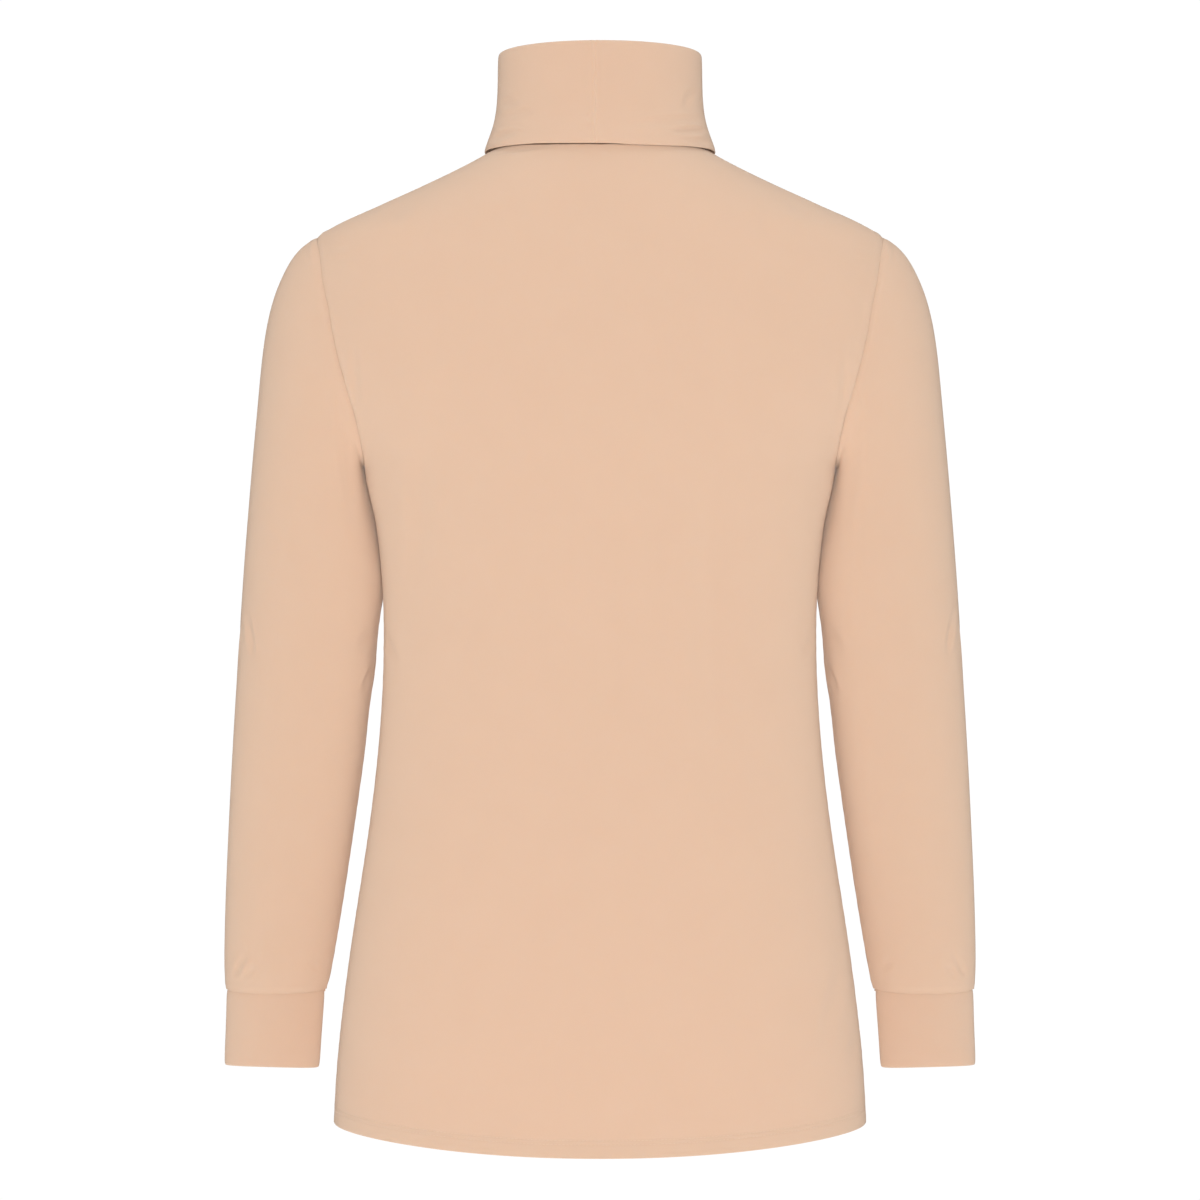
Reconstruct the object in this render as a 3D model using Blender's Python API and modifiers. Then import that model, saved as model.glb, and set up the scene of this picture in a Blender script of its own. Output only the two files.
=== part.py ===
"""A long turtleneck top, filled out as it is worn, with nothing inside it.

Metres, +Z up. The origin is the middle of the neck, level with the neck ends of
the shoulder seams. The wearer would face +Y, so the back panel is on the -Y side
and the wearer's left arm on the -X side. Heights in the tables are given as a
tailor takes them: down from the neck ends of the shoulder seams.

Seven pieces are cut and sewn: back, front, two sleeves, two cuffs and a collar.
Each is a wall of jersey with its seam allowances trimmed away, so neighbouring
pieces stand a hair apart where the real ones are stitched together.
"""
import math
from collections import namedtuple

import bpy
from mathutils import Vector

# Walls and seams.
JERSEY_WALL = 0.0014
DOUBLE_WALL = 0.0019
SEAM_GAP = 0.0008
ARMHOLE_CLEAR = 0.0004

# Torso: one row for each level section of the body.
TorsoRow = namedtuple("TorsoRow", "down half_width back_y side_y front_y squareness")
TORSO = (
    TorsoRow(-0.006, 0.0680, -0.067, 0.000, 0.057, 2.00),
    TorsoRow(0.001, 0.0785, -0.070, 0.000, 0.060, 2.00),
    TorsoRow(0.006, 0.0870, -0.072, 0.000, 0.062, 2.00),
    TorsoRow(0.024, 0.1235, -0.079, -0.001, 0.067, 2.00),
    TorsoRow(0.042, 0.1632, -0.085, -0.002, 0.072, 2.00),
    TorsoRow(0.0610, 0.2025, -0.090, -0.003, 0.081, 2.05),
    TorsoRow(0.080, 0.2085, -0.095, -0.004, 0.091, 2.15),
    TorsoRow(0.100, 0.2130, -0.099, -0.004, 0.101, 2.20),
    TorsoRow(0.125, 0.2130, -0.103, -0.005, 0.109, 2.20),
    TorsoRow(0.145, 0.2090, -0.105, -0.005, 0.114, 2.20),
    TorsoRow(0.170, 0.1980, -0.106, -0.006, 0.118, 2.20),
    TorsoRow(0.190, 0.1860, -0.105, -0.006, 0.120, 2.20),
    TorsoRow(0.208, 0.1760, -0.104, -0.007, 0.119, 2.20),
    TorsoRow(0.225, 0.1680, -0.102, -0.007, 0.117, 2.20),
    TorsoRow(0.249, 0.1627, -0.099, -0.008, 0.114, 2.20),
    TorsoRow(0.285, 0.1575, -0.096, -0.008, 0.108, 2.20),
    TorsoRow(0.320, 0.1550, -0.094, -0.008, 0.103, 2.20),
    TorsoRow(0.350, 0.1548, -0.093, -0.008, 0.100, 2.20),
    TorsoRow(0.392, 0.1562, -0.094, -0.008, 0.098, 2.20),
    TorsoRow(0.436, 0.1598, -0.097, -0.007, 0.099, 2.20),
    TorsoRow(0.480, 0.1650, -0.100, -0.006, 0.101, 2.20),
    TorsoRow(0.523, 0.1713, -0.104, -0.005, 0.104, 2.20),
    TorsoRow(0.567, 0.1780, -0.108, -0.005, 0.107, 2.15),
    TorsoRow(0.611, 0.1836, -0.111, -0.005, 0.109, 2.15),
    TorsoRow(0.655, 0.1882, -0.113, -0.005, 0.111, 2.10),
    TorsoRow(0.705, 0.1905, -0.115, -0.005, 0.113, 2.10),
)

# Neckline, shoulder seam, armhole and hem, as heights on the torso.
SHOULDER_NECK_DOWN = 0.001
SHOULDER_END_DOWN = 0.0610
UNDERARM_DOWN = 0.225
ARMHOLE_BACK = 0.0515
ARMHOLE_FRONT = 0.060
BACK_NECK_DOWN = 0.005
FRONT_NECK_DOWN = 0.042
CENTRE_AT_SHOULDER = 0.080
HEM_SIDE_DOWN = 0.692
HEM_CENTRE_DOWN = 0.701

# The panels' mesh: rows along each stretch of the side edge, columns from the centre.
SHOULDER_ROWS = 7
ARMHOLE_ROWS = 10
SIDE_ROWS = 14
HALF_COLUMNS = 10

# How fast a row's height falls from the centre to the side: high at the neckline.
NECKLINE_BOW = 3.2
PANEL_BOW = 2.4

# Soft vertical folds. Each leans from one x to another; a ridge has a minus depth.
FoldRow = namedtuple("FoldRow", "top bottom x_top x_bottom half_width depth")
BACK_FOLDS = (
    FoldRow(0.150, 0.500, 0.008, 0.012, 0.022, 0.0030),
    FoldRow(0.150, 0.545, 0.070, 0.090, 0.022, 0.0032),
    FoldRow(0.190, 0.400, -0.118, -0.126, 0.020, 0.0026),
    FoldRow(0.180, 0.620, 0.036, 0.104, 0.024, -0.0024),
    FoldRow(0.240, 0.470, -0.052, -0.030, 0.030, -0.0018),
)
FRONT_FOLDS = (
    FoldRow(0.230, 0.560, -0.062, -0.086, 0.024, 0.0034),
    FoldRow(0.250, 0.600, 0.058, 0.072, 0.022, 0.0030),
    FoldRow(0.300, 0.640, 0.004, -0.012, 0.024, 0.0024),
    FoldRow(0.260, 0.520, 0.098, 0.112, 0.020, -0.0020),
)

# Right sleeve: one row for each ring, from its shoulder side to its underarm side.
SleeveRow = namedtuple(
    "SleeveRow",
    "outer_x outer_down inner_x inner_down mid_y back_depth front_depth inner_squareness")
SLEEVE = (
    SleeveRow(0.2025, 0.0610, 0.1680, 0.2250, -0.005, 0.0515, 0.0600, 2.00),
    SleeveRow(0.2088, 0.0653, 0.1689, 0.2253, -0.003, 0.0534, 0.0602, 2.06),
    SleeveRow(0.2150, 0.0707, 0.1690, 0.2275, 0.000, 0.0554, 0.0604, 2.12),
    SleeveRow(0.2227, 0.0792, 0.1684, 0.2310, 0.003, 0.0572, 0.0606, 2.18),
    SleeveRow(0.2315, 0.0945, 0.1675, 0.2350, 0.007, 0.0585, 0.0607, 2.25),
    SleeveRow(0.2383, 0.1160, 0.1666, 0.2395, 0.010, 0.0592, 0.0606, 2.32),
    SleeveRow(0.2428, 0.1420, 0.1655, 0.2445, 0.013, 0.0592, 0.0602, 2.40),
    SleeveRow(0.2462, 0.1760, 0.1642, 0.2510, 0.016, 0.0585, 0.0594, 2.48),
    SleeveRow(0.2498, 0.2120, 0.1626, 0.2600, 0.018, 0.0575, 0.0583, 2.55),
    SleeveRow(0.2532, 0.2500, 0.1604, 0.2740, 0.019, 0.0562, 0.0565, 2.60),
    SleeveRow(0.2573, 0.3000, 0.1580, 0.3030, 0.020, 0.0545, 0.0545, 2.60),
    SleeveRow(0.2606, 0.3490, 0.1590, 0.3490, 0.021, 0.0515, 0.0515, 2.60),
    SleeveRow(0.2654, 0.4214, 0.1686, 0.4214, 0.024, 0.0470, 0.0475, 2.55),
    SleeveRow(0.2697, 0.4940, 0.1792, 0.4940, 0.030, 0.0425, 0.0430, 2.45),
    SleeveRow(0.2724, 0.5450, 0.1873, 0.5450, 0.036, 0.0390, 0.0395, 2.30),
    SleeveRow(0.2736, 0.5800, 0.1934, 0.5800, 0.040, 0.0360, 0.0360, 2.12),
    SleeveRow(0.2734, 0.5935, 0.1960, 0.5935, 0.042, 0.0340, 0.0340, 2.05),
    SleeveRow(0.2726, 0.6023, 0.1988, 0.6023, 0.043, 0.0305, 0.0305, 2.00),
)
RINGS_PER_ROW = (1, 1, 1, 1, 1, 1, 1, 2, 2, 2, 2, 3, 3, 2, 1, 1, 1)
CAP_RINGS = 5
AROUND_ARM = 2 * ARMHOLE_ROWS

# Folds round the elbow: where round the arm (degrees from the outer side, to the
# back), height at the middle, reach along the arm and round it, and depth.
ElbowFold = namedtuple("ElbowFold", "angle down reach round_reach depth")
ELBOW_FOLDS = (
    ElbowFold(150.0, 0.352, 0.014, 62.0, 0.0026),
    ElbowFold(196.0, 0.392, 0.015, 58.0, 0.0022),
    ElbowFold(228.0, 0.330, 0.014, 48.0, 0.0024),
)

# Right cuff: one row for each ring.
CuffRow = namedtuple("CuffRow", "down outer_x inner_x mid_y depth tilt")
CUFF = (
    CuffRow(0.6027, 0.2722, 0.1996, 0.0430, 0.0290, 0.0000),
    CuffRow(0.6200, 0.2725, 0.2009, 0.0440, 0.0286, 0.0002),
    CuffRow(0.6400, 0.2734, 0.2027, 0.0452, 0.0284, 0.0006),
    CuffRow(0.6572, 0.2744, 0.2037, 0.0462, 0.0282, 0.0010),
)

# Collar: a doubled band that stands up from the neckline and is turned down over
# itself. It flares towards the shoulders, and its top is lower in front.
COLLAR_HALF_WIDTH = 0.0733
COLLAR_BACK = 0.0650
COLLAR_FRONT = 0.0640
COLLAR_TOP = 0.0700
COLLAR_FRONT_DROP = 0.028
COLLAR_DROP_POWER = 1.6
COLLAR_FLARE = 0.0098
FLARE_REACH = 0.24
FLARE_POWER = 1.4
STAND_TO_FALL = 0.0042
STAND_LIFT = 0.0013
FALL_LIFT = 0.0001
STAND_STEPS = (0.0, 0.14, 0.30, 0.52, 0.76)
FOLD_TURNS = (0, 45, 90, 135, 180)
FALL_STEPS = (0.76, 0.56, 0.38, 0.24, 0.12, 0.0)

JERSEY_COLOUR = (0.79, 0.54, 0.385, 1.0)
JERSEY_ROUGHNESS = 0.82


def between(places, values, place):
    """Value of a table's column between its rows, on a curve without overshoot."""
    last = len(places) - 1
    steps = [(values[i + 1] - values[i]) / (places[i + 1] - places[i]) for i in range(last)]

    def slope(i):
        if i in (0, last):
            return steps[min(i, last - 1)]
        before, after = steps[i - 1], steps[i]
        if before * after <= 0.0:
            return 0.0
        return 2.0 * before * after / (before + after)

    start = max([i for i in range(last) if places[i] <= place], default=0)
    width = places[start + 1] - places[start]
    t = (place - places[start]) / width
    rise = (1 + 2 * t) * (1 - t) ** 2 * values[start] + t * t * (3 - 2 * t) * values[start + 1]
    lean = t * (1 - t) ** 2 * slope(start) + t * t * (t - 1) * slope(start + 1)
    return rise + width * lean


def row_at(table, places, place):
    """A whole row of a table, read between its rows."""
    columns = zip(*table)
    return type(table[0])(*(between(places, column, place) for column in columns))


def mix(low, high, share):
    return low + (high - low) * share


def torso_row(down):
    return row_at(TORSO, [row.down for row in TORSO], down)


def torso_point(facing, angle, down):
    """Point of the body's outside. Angle 0 is its centre line, a right angle its side."""
    row = torso_row(down)
    centre_y = row.back_y if facing < 0 else row.front_y
    power = 2.0 / row.squareness
    x = row.half_width * math.sin(angle) ** power
    y = row.side_y + (centre_y - row.side_y) * max(0.0, math.cos(angle)) ** power
    return Vector((x, y, -down))


def armhole(facing, turn, clear=0.0):
    """Angle on the torso and height of the armhole seam, turned from the shoulder
    point down to the underarm. The panels are cut clear of it all round."""
    share = (1 - math.cos(turn)) / 2
    down = mix(SHOULDER_END_DOWN - clear, UNDERARM_DOWN + clear, share)
    depth = ARMHOLE_BACK if facing < 0 else ARMHOLE_FRONT
    row = torso_row(down)
    centre_y = row.back_y if facing < 0 else row.front_y
    reach = (depth + clear) * math.sin(turn) / abs(centre_y - row.side_y)
    return math.acos(reach ** (row.squareness / 2)), down


def set_back(facing, angle, down):
    """The edge angle that leaves half a seam gap along a panel's row."""
    small = 0.02
    run = torso_point(facing, angle, down) - torso_point(facing, angle - small, down)
    return angle - small * SEAM_GAP / 2 / run.length


def fold_depth(folds, x, down):
    """How far the folds push a point of a panel towards the inside of the body."""
    total = 0.0
    for fold in folds:
        share = (down - fold.top) / (fold.bottom - fold.top)
        if 0.0 < share < 1.0:
            off = (x - mix(fold.x_top, fold.x_bottom, share)) / fold.half_width
            total += fold.depth * math.sin(math.pi * share) * math.exp(-off * off)
    return total


def edge_rows(facing, neck_down):
    """Each row of a panel: its edge angle, its side and centre heights and its bow."""
    rows = []
    upper = SHOULDER_ROWS + ARMHOLE_ROWS
    for i in range(upper + SIDE_ROWS + 1):
        angle = math.pi / 2
        if i < SHOULDER_ROWS:
            side = mix(SHOULDER_NECK_DOWN, SHOULDER_END_DOWN, i / SHOULDER_ROWS)
        elif i <= upper:
            turn = math.pi * (i - SHOULDER_ROWS) / ARMHOLE_ROWS
            angle, side = armhole(facing, turn, ARMHOLE_CLEAR)
        else:
            side = mix(UNDERARM_DOWN, HEM_SIDE_DOWN, (i - upper) / SIDE_ROWS)
        bow = mix(NECKLINE_BOW, PANEL_BOW, min(1.0, i / SHOULDER_ROWS))
        if i < SHOULDER_ROWS:
            centre = mix(neck_down, CENTRE_AT_SHOULDER, i / SHOULDER_ROWS)
        elif i <= upper:
            centre = mix(CENTRE_AT_SHOULDER, UNDERARM_DOWN, (i - SHOULDER_ROWS) / ARMHOLE_ROWS)
        else:
            centre = mix(UNDERARM_DOWN, HEM_CENTRE_DOWN, (i - upper) / SIDE_ROWS)
        rows.append((set_back(facing, angle, side), side, centre, bow))
    return rows


def panel_rows(facing, neck_down, folds):
    """Points of a body panel, row by row from the neckline to the hem."""
    grid = []
    for edge_angle, side, centre, bow in edge_rows(facing, neck_down):
        points = []
        for column in range(-HALF_COLUMNS, HALF_COLUMNS + 1):
            share = abs(column) / HALF_COLUMNS
            down = mix(centre, side, 1 - math.cos(math.pi / 2 * share) ** bow)
            point = torso_point(facing, edge_angle * share, down)
            point.x = math.copysign(point.x, column)
            point.y -= facing * fold_depth(folds, point.x, down)
            points.append(point)
        grid.append(points)
    return grid


def neckline(turn):
    """Point of the neck seam, turned from the centre back to the wearer's right."""
    facing = -1 if math.cos(turn) >= 0.0 else 1
    centre = BACK_NECK_DOWN if facing < 0 else FRONT_NECK_DOWN
    angle = math.asin(min(1.0, abs(math.sin(turn))))
    down = mix(SHOULDER_NECK_DOWN, centre, abs(math.cos(angle)) ** NECKLINE_BOW)
    point = torso_point(facing, angle, down)
    point.x = math.copysign(point.x, math.sin(turn))
    return point


def sleeve_ring(place):
    """Ring of the right sleeve at a place in its table, from the outer side round
    the back. Its inner half is fuller, where the arm rests against the body."""
    row = row_at(SLEEVE, list(range(len(SLEEVE))), place)
    outer = Vector((row.outer_x, 0.0, -row.outer_down))
    inner = Vector((row.inner_x, 0.0, -row.inner_down))
    ring = []
    for k in range(AROUND_ARM):
        turn = 2 * math.pi * k / AROUND_ARM
        depth = row.back_depth if turn <= math.pi else row.front_depth
        across, through = math.cos(turn), math.sin(turn)
        if across < 0.0:
            power = 2.0 / row.inner_squareness
            across = -abs(across) ** power
            through = math.copysign(abs(through) ** power, through)
        point = (outer + inner) / 2 + (outer - inner) / 2 * across
        point.y = row.mid_y - depth * through
        ring.append(point)
    return ring


def armhole_ring():
    """The sleeve's first ring: the armhole seam itself, down the back and up the front."""
    ring = []
    for k in range(AROUND_ARM):
        facing, step = (-1, k) if k <= ARMHOLE_ROWS else (1, AROUND_ARM - k)
        angle, down = armhole(facing, math.pi * step / ARMHOLE_ROWS)
        ring.append(torso_point(facing, angle, down))
    return ring


def fold_sleeve(ring):
    """Presses the elbow's folds into one ring."""
    middle = sum(ring, Vector()) / len(ring)
    for k, point in enumerate(ring):
        degrees = 360.0 * k / AROUND_ARM
        inward = (middle - point).normalized()
        inward.z = 0.0
        for fold in ELBOW_FOLDS:
            along = (-point.z - fold.down) / fold.reach
            round_arm = (degrees - fold.angle) / fold.round_reach
            point += inward * fold.depth * math.exp(-along * along - round_arm * round_arm)


def sleeve_rings():
    """All rings of the right sleeve. The cap grows out of the armhole seam."""
    seam = armhole_ring()
    offset = [on_seam - plain for on_seam, plain in zip(seam, sleeve_ring(0))]
    rings = []
    for row, count in enumerate(RINGS_PER_ROW):
        for step in range(count):
            place = row + step / count
            fade = max(0.0, 1 - place / CAP_RINGS) ** 2
            ring = [point + off * fade for point, off in zip(sleeve_ring(place), offset)]
            fold_sleeve(ring)
            rings.append(ring)
    rings.append(sleeve_ring(len(SLEEVE) - 1))
    return rings


def cuff_rings():
    rings = []
    for row in CUFF:
        ring = []
        for k in range(AROUND_ARM):
            turn = 2 * math.pi * k / AROUND_ARM
            half = (row.outer_x - row.inner_x) / 2
            x = (row.outer_x + row.inner_x) / 2 + half * math.cos(turn)
            y = row.mid_y - row.depth * math.sin(turn)
            ring.append(Vector((x, y, -row.down + row.tilt * math.cos(turn))))
        rings.append(ring)
    return rings


def collar_profile(turn):
    """The collar's middle line at one place round the neck: up the stand, over the
    fold and down the fall."""
    depth = COLLAR_BACK if math.cos(turn) >= 0.0 else COLLAR_FRONT
    plan = Vector((COLLAR_HALF_WIDTH * math.sin(turn), -depth * math.cos(turn), 0.0))
    out = Vector((math.sin(turn) / COLLAR_HALF_WIDTH, -math.cos(turn) / depth, 0.0)).normalized()
    front = max(0.0, -math.cos(turn))
    seam = neckline(turn) + Vector((0.0, 0.0, STAND_LIFT))
    top = COLLAR_TOP - COLLAR_FRONT_DROP * front ** COLLAR_DROP_POWER
    radius = STAND_TO_FALL / 2
    lower = top - radius - DOUBLE_WALL / 2
    from_face = DOUBLE_WALL / 2

    def flared(share):
        flare = COLLAR_FLARE * math.exp(-(share / FLARE_REACH) ** FLARE_POWER)
        return plan + out * flare

    foot = flared(0.0) - out * (from_face + STAND_TO_FALL)
    to_seam = Vector((seam.x - foot.x, seam.y - foot.y, 0.0))

    def at(share, inset, bottom):
        point = flared(share) - out * (from_face + inset) + to_seam * (1 - share) ** 3
        point.z = mix(bottom, lower, share)
        return point

    line = [at(share, STAND_TO_FALL, seam.z) for share in STAND_STEPS]
    for degrees in FOLD_TURNS:
        swing = math.radians(degrees)
        point = flared(1.0) - out * (from_face + radius + radius * math.cos(swing))
        point.z = lower + radius * math.sin(swing)
        line.append(point)
    line += [at(share, 0.0, seam.z + FALL_LIFT) for share in FALL_STEPS]
    return line


def collar_lines():
    """Profiles round the neck, one at each column of the panels' necklines."""
    count = 4 * HALF_COLUMNS
    return [collar_profile(2 * math.pi * k / count) for k in range(count)]


def skin(name, lines, closed, flip):
    """Mesh of the quads between neighbouring lines of points, with equal counts."""
    width = len(lines[0])
    points = [tuple(point) for line in lines for point in line]
    faces = []
    for i in range(len(lines) - (0 if closed == "lines" else 1)):
        here, there = i * width, (i + 1) % len(lines) * width
        for j in range(width - (0 if closed == "points" else 1)):
            after = (j + 1) % width
            face = (here + j, there + j, there + after, here + after)
            faces.append(face[::-1] if flip else face)
    mesh = bpy.data.meshes.new(name)
    mesh.from_pydata(points, [], faces)
    mesh.shade_smooth()
    return mesh


def jersey():
    material = bpy.data.materials.new("jersey")
    material.use_nodes = True
    shader = material.node_tree.nodes["Principled BSDF"]
    shader.inputs["Base Color"].default_value = JERSEY_COLOUR
    shader.inputs["Roughness"].default_value = JERSEY_ROUGHNESS
    shader.inputs["Metallic"].default_value = 0.0
    return material


def cloth(name, lines, wall, closed=None, flip=False, from_middle=False):
    """A cut piece: the skin through its lines, given the wall's thickness."""
    piece = bpy.data.objects.new(name, skin(name, lines, closed, flip))
    piece.data.materials.append(jersey_material)
    shell = piece.modifiers.new("wall", "SOLIDIFY")
    shell.thickness = wall
    shell.offset = 0.0 if from_middle else -1.0
    shell.use_even_offset = True
    garment.objects.link(piece)
    return piece


def mirrored(rings):
    """The left arm's rings: the right arm's, across the body's centre plane."""
    return [[Vector((-point.x, point.y, point.z)) for point in ring] for ring in rings]


for old in list(bpy.data.objects):
    bpy.data.objects.remove(old)

garment = bpy.data.collections.new("turtleneck")
bpy.context.scene.collection.children.link(garment)
jersey_material = jersey()

cloth("back", panel_rows(-1, BACK_NECK_DOWN, BACK_FOLDS), JERSEY_WALL)
cloth("front", panel_rows(1, FRONT_NECK_DOWN, FRONT_FOLDS), JERSEY_WALL, flip=True)
cloth("sleeve_right", sleeve_rings(), JERSEY_WALL, closed="points", flip=True)
cloth("sleeve_left", mirrored(sleeve_rings()), JERSEY_WALL, closed="points")
cloth("cuff_right", cuff_rings(), DOUBLE_WALL, closed="points", flip=True)
cloth("cuff_left", mirrored(cuff_rings()), DOUBLE_WALL, closed="points")
cloth("collar", collar_lines(), DOUBLE_WALL, closed="lines", from_middle=True)
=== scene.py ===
import heapq
import itertools
import math
from collections import namedtuple

import bmesh
import bpy
import numpy as np
from mathutils import Matrix, Vector
from mathutils.bvhtree import BVHTree
from mathutils.kdtree import KDTree


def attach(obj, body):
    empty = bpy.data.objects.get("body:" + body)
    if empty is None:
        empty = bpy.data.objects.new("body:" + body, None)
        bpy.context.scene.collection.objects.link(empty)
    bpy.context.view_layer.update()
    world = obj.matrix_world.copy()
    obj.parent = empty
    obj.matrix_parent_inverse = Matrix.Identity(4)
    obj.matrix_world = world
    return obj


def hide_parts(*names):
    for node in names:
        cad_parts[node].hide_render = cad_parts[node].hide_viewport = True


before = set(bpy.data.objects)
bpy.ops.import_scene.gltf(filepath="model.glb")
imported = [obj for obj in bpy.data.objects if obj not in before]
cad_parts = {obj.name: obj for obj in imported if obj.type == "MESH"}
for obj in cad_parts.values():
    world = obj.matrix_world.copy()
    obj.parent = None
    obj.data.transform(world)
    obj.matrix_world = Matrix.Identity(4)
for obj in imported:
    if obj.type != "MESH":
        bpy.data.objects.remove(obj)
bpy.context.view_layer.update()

# --------------------------------------------------------- back and front panels
# Two body panels of fine single jersey in nude peach, each cut in one from the
# shoulders to the hem. They are overlocked together at the shoulders and sides,
# with the seam allowances turned in, and the hem is turned up once.


class Yarn:
    """A socket of a material. Sums written on it add the Math nodes."""

    def __init__(self, finish, socket):
        self.finish, self.socket = finish, socket

    def sum_with(self, operation, first, second=None):
        values = {0: first} if second is None else {0: first, 1: second}
        return self.finish.add("ShaderNodeMath", {"operation": operation}, values)

    def __add__(self, other):
        return self.sum_with("ADD", self, other)

    def __sub__(self, other):
        return self.sum_with("SUBTRACT", self, other)

    def __rsub__(self, other):
        return self.sum_with("SUBTRACT", other, self)

    def __mul__(self, other):
        return self.sum_with("MULTIPLY", self, other)

    def __truediv__(self, other):
        return self.sum_with("DIVIDE", self, other)

    def __pow__(self, other):
        return self.sum_with("POWER", self, other)

    __radd__, __rmul__ = __add__, __mul__

    def cosine(self):
        return self.sum_with("COSINE", self)

    def absolute(self):
        return self.sum_with("ABSOLUTE", self)

    def fraction(self):
        return self.sum_with("FRACT", self)

    def bell(self, reach):
        """One at zero, falling smoothly to nothing a few times the reach away."""
        return self.sum_with("EXPONENT", 0 - (self / reach) ** 2)


class Finish:
    """A material and the one way nodes are added to it."""

    def __init__(self, name):
        self.material = bpy.data.materials.new(name)
        self.material.use_nodes = True
        self.nodes = self.material.node_tree.nodes
        self.shader = self.nodes["Principled BSDF"]

    def add(self, kind, settings=None, values=None, out=0):
        node = self.nodes.new(kind)
        for name, value in (settings or {}).items():
            setattr(node, name, value)
        self.feed(node, values or {})
        return Yarn(self, node.outputs[out])

    def feed(self, node, values):
        for name, value in values.items():
            if isinstance(value, Yarn):
                self.material.node_tree.links.new(value.socket, node.inputs[name])
            else:
                node.inputs[name].default_value = value


# The cloth's colour, and the deeper one that its mottle, fuzz and painted shade draw it
# towards.
PEACH = (0.735, 0.530, 0.392, 1.0)
PEACH_DEEP = (0.690, 0.476, 0.340, 1.0)
WALE = 0.0007
COURSE = 0.0005
STITCH_LEAN = 0.9
KNIT_DEPTH = 0.00005
FUZZ_DEPTH = 0.00004
HEM_ROWS = (0.0094, 0.0122)
ROW_REACH = 0.0006
ROW_DENT = 0.00018
# Over this reach from a seam the colour is deepened, as painted shade in the seam's groove.
SEAM_PAINTED_SHADE_REACH = 0.0012
# How much each of these deepens the colour. The mottle and the fuzz are the
# yarn's own uneven tone and the even one deepens it all alike; the knit, the
# seam and the row amounts are painted shade in the stitch hollows, seam grooves
# and hem dents.
MOTTLE_SHADE, FUZZ_SHADE, KNIT_PAINTED_SHADE = 0.30, 0.30, 0.12
SEAM_PAINTED_SHADE, ROW_PAINTED_SHADE, EVEN_SHADE = 0.12, 0.10, 0.10


def jersey(name):
    """Fine jersey: columns of small V stitches, a soft bloom and a faint mottle.
    It is dented along the two needle rows of the hem. Painted shade darkens the
    hollows between the stitches, the seams and the hem's dents."""
    cloth = Finish(name)
    cut = cloth.add("ShaderNodeUVMap", {"uv_map": "cut"})
    across = cloth.add("ShaderNodeSeparateXYZ", values={0: cut})
    along = Yarn(cloth, across.socket.node.outputs[1])
    arm = ((across / WALE).fraction() - 0.5).absolute() * 2
    row = (along / COURSE + arm * STITCH_LEAN).fraction()
    loop = 0.5 - 0.5 * (row * math.tau).cosine()
    knit = loop * 0.45 + (0.5 - 0.5 * (arm * math.tau).cosine()) * 0.55

    blotch = cloth.add("ShaderNodeTexNoise", values={
        "Vector": cut, "Scale": 30.0, "Detail": 3.0, "Roughness": 0.55})
    fuzz = cloth.add("ShaderNodeTexNoise", values={
        "Vector": cut, "Scale": 900.0, "Detail": 3.0, "Roughness": 0.7})
    seam = cloth.add("ShaderNodeAttribute", {"attribute_name": "seam"}, out=2)
    hem = cloth.add("ShaderNodeAttribute", {"attribute_name": "hem"}, out=2)
    lower, upper = ((hem - row_up).bell(ROW_REACH) for row_up in HEM_ROWS)
    dents = lower + upper
    # Painted shade: the knit, seam and row terms darken the colour where the stitch hollows,
    # seam grooves and hem dents lie in shade; the mottle and fuzz are the cloth's own tone.
    shade = ((blotch - 0.5) * MOTTLE_SHADE + (fuzz - 0.5) * FUZZ_SHADE
             + (1 - knit) * KNIT_PAINTED_SHADE + seam.bell(SEAM_PAINTED_SHADE_REACH) * SEAM_PAINTED_SHADE
             + dents * ROW_PAINTED_SHADE + EVEN_SHADE)
    colour = cloth.add("ShaderNodeMix", {"data_type": "RGBA", "clamp_factor": True},
                       {0: shade, 6: PEACH, 7: PEACH_DEEP}, out=2)
    bump = cloth.add("ShaderNodeBump", values={
        "Strength": 1.0, "Distance": 1.0,
        "Height": knit * KNIT_DEPTH + fuzz * FUZZ_DEPTH - dents * ROW_DENT})
    cloth.feed(cloth.shader, {
        "Base Color": colour, "Roughness": 0.78 + fuzz * 0.12, "Normal": bump,
        "Diffuse Roughness": 1.0, "Sheen Weight": 0.07, "Sheen Roughness": 0.45,
        "Sheen Tint": (1.0, 0.90, 0.80, 1.0), "Specular IOR Level": 0.2,
        "Subsurface Weight": 0.30, "Subsurface Scale": 0.0020,
        "Subsurface Radius": (1.0, 0.75, 0.55)})
    return cloth.material


jersey_finish = jersey("jersey")

FINE_LEVELS = 3
PROUD = 0.0001
CLOTH_WALL = 0.0010
EDGE_ROUND = 0.00035
EDGE_BEND = 62
SEWN_REACH = 0.0026
WALL_AT_MOST = 0.0035
SEAM_GAP = 0.0001
SAME_PLACE = 1e-6
SLIT_EASE = 0.00014
LIP_AWAY, LIP_WIDTH, SINK_WIDTH = 0.0040, 0.0026, 0.0020
PUCKER_HEIGHT, PUCKER_WIDTH = 0.00010, 0.007
PUCKER_TURNS, PUCKER_DRIFT = (310.0, 420.0, 520.0), 90
ALLOWANCE_DROP = 0.0012
ALLOWANCE_PAST = 0.0024
ALLOWANCE_ROWS = 2
HEM_LEVEL = -0.60
HEM_DEPTH = 0.0145
HEM_FOLD = 0.00215

solids = {}
for node_name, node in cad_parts.items():
    bm = bmesh.new()
    bm.from_mesh(node.data)
    solids[node_name] = BVHTree.FromBMesh(bm)
    bm.free()


def merged(node_name):
    """A piece's solid, with the points of its loose triangles joined."""
    bm = bmesh.new()
    bm.from_mesh(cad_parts[node_name].data)
    bmesh.ops.remove_doubles(bm, verts=bm.verts, dist=1e-5)
    return bm


def into_quads(bm, angle):
    bmesh.ops.join_triangles(
        bm, faces=bm.faces, angle_face_threshold=angle,
        angle_shape_threshold=angle, topology_influence=1.5)


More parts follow.
